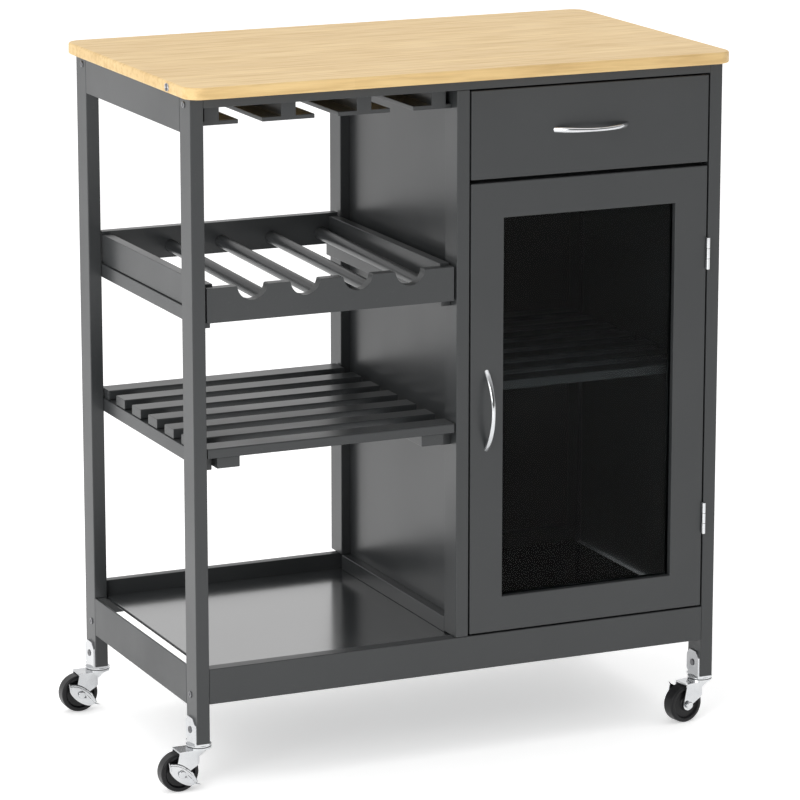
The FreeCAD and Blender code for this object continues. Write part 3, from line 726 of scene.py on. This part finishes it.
def addSideProfile():
    # the round eye is drawn first, and its upper vertices are pulled out to the rear and front corners
    eyeX, eyeZ, wide = -fork["trail"], wheel["radius"], fork["cheekOut"] + 0.001
    pickNone()
    bpy.ops.mesh.primitive_circle_add(vertices=48, radius=fork["eye"], fill_type="NGON",
                                      location=(eyeX, -wide, eyeZ), rotation=(math.pi / 2, 0, 0))
    piece = bpy.context.active_object
    settle(piece)

    def angleOf(co):
        return math.degrees(math.atan2(co.z - eyeZ, co.x - eyeX)) % 360

    def onEye(co):
        return math.hypot(co.x - eyeX, co.z - eyeZ) < fork["eye"] + 0.0001

    above = 0.060  # clear of the crown's top
    outline = ((33.75, fork["front"], fork["noseLow"]), (78.75, fork["front"], above),
               (123.75, -fork["rear"], above), (168.75, -fork["rear"], fork["plateLow"]))
    for angle, x, z in outline:
        selectWhere(piece, "VERT", lambda co: abs(angleOf(co) - angle) < 3.8 and onEye(co))
        bpy.ops.mesh.merge(type="CENTER")
        backToObjects()
        spot = [v.co.copy() for v in piece.data.vertices if v.select][0]
        selectWhere(piece, "VERT", lambda co: (co - spot).length < 0.00001)
        bpy.ops.transform.translate(value=(x - spot.x, 0, z - spot.z))
        backToObjects()
    selectWhere(piece, "VERT", lambda co: 4 < angleOf(co) < 176 and onEye(co))
    bpy.ops.mesh.dissolve_verts()
    bpy.ops.mesh.select_all(action="SELECT")
    bpy.ops.mesh.extrude_region_move(TRANSFORM_OT_translate={"value": (0, 2 * wide, 0)})
    backToObjects()
    cleanShell(piece)
    return piece


def addFlare():
    # the crown's trumpet: wide at the race and leaning back to the nose
    pickNone()
    low, high = fork["plateLow"] - fork["flareDeep"], fork["plateHigh"]
    bpy.ops.mesh.primitive_cone_add(vertices=48, radius1=fork["flareRadius"],
                                    radius2=fork["raceRadius"] - fork["flareInset"],
                                    depth=high - low, location=(0, 0, (low + high) / 2))
    piece = bpy.context.active_object
    settle(piece)
    selectWhere(piece, "VERT", lambda co: co.z < low + 0.0001)
    bpy.ops.transform.translate(value=(-fork["flareSet"], 0, 0))
    bpy.ops.mesh.select_all(action="SELECT")
    waist = high - (high - low) * fork["waistShare"]
    bpy.ops.mesh.bisect(plane_co=(0, 0, waist), plane_no=(0, 0, 1))
    backToObjects()
    selectWhere(piece, "VERT", lambda co: abs(co.z - waist) < 0.0001)
    bpy.ops.transform.translate(value=(-fork["waistSet"], 0, 0))
    bpy.ops.transform.resize(value=(fork["waistSlim"], fork["waistSlim"], 1))
    backToObjects()
    selectWhere(piece, "EDGE", lambda a, b: max(abs(a.z - waist), abs(b.z - waist)) < 0.0001)
    bpy.ops.mesh.bevel(offset=fork["waistRound"], segments=3, affect="EDGES")
    backToObjects()
    return piece


def addFork():
    thick = fork["cheekOut"] - fork["cheekIn"]
    body = addChannel(fork["front"], fork["cheekOut"], fork["noseRound"], 0.0, fork["plateHigh"])
    profile = addSideProfile()
    applyModifier(body, "BOOLEAN", operation="INTERSECT", solver="EXACT", object=profile)
    bpy.data.objects.remove(profile)
    race = addRound(fork["raceRadius"], (0, 0, (fork["plateHigh"] + fork["top"]) / 2 - 0.0001),
                    fork["top"] - fork["plateHigh"] + 0.0002, "Z", 48)
    selectWhere(race, "FACE", lambda co, normal: normal.z > 0.9)
    bpy.ops.mesh.inset(thickness=fork["raceLip"])
    bpy.ops.mesh.inset(thickness=fork["raceGroove"], depth=-fork["grooveDeep"])
    backToObjects()
    body = fusePieces(body, addFlare())
    inside = addChannel(fork["front"] - thick, fork["cheekIn"], fork["noseRound"] - thick, -0.001,
                        fork["plateLow"])
    cavity = addRound(fork["cavity"], (0, 0, fork["plateLow"] - fork["cavityDeep"] / 2),
                      fork["cavityDeep"], "Z", 32)
    body = cutPiece(body, inside, cavity)
    body = fusePieces(body, race)
    body = cutPiece(body, addRound(fork["kingpinBore"], (0, 0, 0.045), 0.02, "Z", 32))
    cleanShell(body)
    easeEdges(body, fork["edge"], 2, 45)
    # the axle with its two domed rivet heads
    half = rivet["near"] + rivet["thick"]
    axle = addRound(rivet["axle"], (-fork["trail"], 0, wheel["radius"]), 2 * half - 0.001, "Y", 32)
    easeEdges(axle, 0)
    heads = []
    flat = rivet["thick"] - rivet["domeRise"]
    for side in (-1, 1):
        head = addRound(rivet["radius"], (-fork["trail"], side * (rivet["near"] + flat / 2), wheel["radius"]),
                        flat, "Y", 32)
        selectWhere(head, "FACE", lambda co, normal: normal.y * side > 0.9)
        bpy.ops.mesh.inset(thickness=rivet["domeSet"], depth=0)
        bpy.ops.transform.translate(value=(0, side * rivet["domeRise"], 0))
        backToObjects()
        easeEdges(head, rivet["edge"], 3)
        heads.append(head)
    return joinPieces(body, axle, *heads)


def addLever():
    # leaf with a pointed tail and tip, a raised middle and a bore for the axle
    length = lever["tip"] - lever["tail"]
    middle = (lever["tip"] + lever["tail"]) / 2 + lever["shift"]
    pickNone()
    bpy.ops.mesh.primitive_circle_add(vertices=40, radius=1, fill_type="NGON", location=(0, 0, 0),
                                      rotation=(math.pi / 2, 0, 0))
    piece = bpy.context.active_object
    settle(piece)
    piece.scale = (length * lever["leafShare"], 1, lever["half"])
    piece.location = (middle, lever["near"], 0)
    settle(piece)
    for end, place in ((-1, lever["tail"]), (1, lever["tip"])):
        edge = middle + end * length * lever["leafShare"]
        selectWhere(piece, "VERT", lambda co: abs(co.x - edge) < 0.0002)
        bpy.ops.transform.translate(value=(place - edge, 0, lever["sweep"]))
        backToObjects()
        near = middle + end * length * lever["nearShare"]
        selectWhere(piece, "VERT", lambda co: 0.01 < abs(co.x - middle) and (co.x - near) * end > -0.0016
                    and abs(co.x - place) > 0.0002)
        bpy.ops.transform.translate(value=(end * lever["nearPull"], 0, lever["sweep"] * lever["nearSweep"]))
        bpy.ops.transform.resize(value=(1, 1, lever["nearSlim"]))
        backToObjects()
    flat = lever["thick"] - lever["raise"]
    selectWhere(piece, "FACE", lambda co, normal: True)
    bpy.ops.mesh.extrude_region_move(TRANSFORM_OT_translate={"value": (0, flat, 0)})
    backToObjects()
    cleanShell(piece)
    outer = lever["near"] + flat
    selectWhere(piece, "FACE", lambda co, normal: normal.y > 0.9 and co.y > outer - 0.0001)
    bpy.ops.mesh.inset(thickness=lever["border"])
    bpy.ops.mesh.inset(thickness=lever["raiseWall"], depth=lever["raise"])
    backToObjects()
    cutPiece(piece, addRound(lever["bore"], (0, lever["near"], 0), 0.01, "Y", 32))
    cleanShell(piece)
    easeEdges(piece, lever["edge"], 2, 35)
    return piece


def placeCaster(piece, corner):
    # turned from the master's heading to the corner's own, about its swivel
    swivel = jointAt["swivel_" + corner]["pos_m"]
    eye = jointAt["roll_" + corner]["pos_m"]
    piece.rotation_euler = (0, 0, math.atan2(swivel[1] - eye[1], swivel[0] - eye[0]))
    piece.location = (swivel[0], swivel[1], 0)
    settle(piece)
    return piece


wheelMaster, forkMaster, leverMaster = addWheel(), addFork(), addLever()
for corner in corners:
    tyre = placeCaster(copyPiece(wheelMaster, "wheelCopy"), corner)
    dress(tyre, "wheel_" + corner, ["caster_wheel_" + corner])
    crown = placeCaster(copyPiece(forkMaster, "forkCopy"), corner)
    dress(crown, "fork_" + corner, ["caster_fork_" + corner])
    blade = copyPiece(leverMaster, "leverCopy")
    blade.rotation_euler = (0, -math.radians(lever["angles"][corner]), 0)
    settle(blade)
    if lever["sides"][corner] < 0:
        blade.scale = (1, -1, 1)
        settle(blade)
        cleanShell(blade)
        bpy.ops.object.shade_smooth_by_angle(angle=math.radians(35))
    blade.location = (-fork["trail"], 0, wheel["radius"])
    settle(blade)
    placeCaster(blade, corner)
    dress(blade, "lever_" + corner, ["brake_lever_" + corner])
for master in (wheelMaster, forkMaster, leverMaster):
    bpy.data.objects.remove(master)
easedBoard("casterPlates", "caster_plates", 0.0005)  # the pressed tabs only need softer bends
print("stage: casters ready")


# ---------- screws
screw = {"radius": 0.004, "head": 0.0012, "slotLong": 0.0044, "slotWide": 0.0010, "slotDeep": 0.0008,
         "crown": 0.35, "rimRound": 0.55, "edge": 0.00012}


def addScrew(size, side):
    # pan head looking along X, with a cross recess
    radius, head = screw["radius"] * size, screw["head"]
    piece = addRound(radius, (side * head / 2, 0, 0), head, "X", 32)
    selectWhere(piece, "FACE", lambda co, normal: normal.x * side > 0.9)
    bpy.ops.mesh.inset(thickness=radius * screw["crown"], depth=0)
    backToObjects()
    selectWhere(piece, "EDGE", lambda a, b: min(a.x * side, b.x * side) > head * 0.9
                and min(math.hypot(a.y, a.z), math.hypot(b.y, b.z)) > radius * 0.95)
    bpy.ops.mesh.bevel(offset=head * screw["rimRound"], segments=3, affect="EDGES")
    backToObjects()
    half, wide = screw["slotLong"] * size / 2, screw["slotWide"] * size / 2
    deep = sorted((side * (head - screw["slotDeep"]), side * (head + 0.001)))
    cutPiece(piece, addBlock((deep[0], -half, -wide), (deep[1], half, wide)),
             addBlock((deep[0], -wide, -half), (deep[1], wide, half)))
    cleanShell(piece)
    easeEdges(piece, screw["edge"], 1, 60)
    return piece


def screwPlaces():
    # the CAD heads are read back as loose groups, so each new head sits where the old one was
    piece = solidCopy("frame_screws")
    pick(piece)
    bpy.ops.object.mode_set(mode="EDIT")
    bpy.ops.mesh.separate(type="LOOSE")
    backToObjects()
    places = []
    for part in list(bpy.context.selected_objects):
        spots = [v.co for v in part.data.vertices]
        low = Vector([min(s[i] for s in spots) for i in range(3)])
        high = Vector([max(s[i] for s in spots) for i in range(3)])
        places.append((low, high))
        bpy.data.objects.remove(part)
    return places


for count, (low, high) in enumerate(screwPlaces()):
    side = 1 if low.x > 0.3 else -1
    size = (high.y - low.y) / (2 * screw["radius"])
    piece = addScrew(size, side)
    piece.location = (low.x if side > 0 else high.x, (low.y + high.y) / 2, (low.z + high.z) / 2)
    settle(piece)
    dress(piece, "screw_%02d" % (count + 1), ["frame_screws"])
print("stage: screws ready")

nodes["caster_kingpins"].data.materials.clear()
nodes["caster_kingpins"].data.materials.append(finishes["runner_steel"])

print("stage: everything in place")
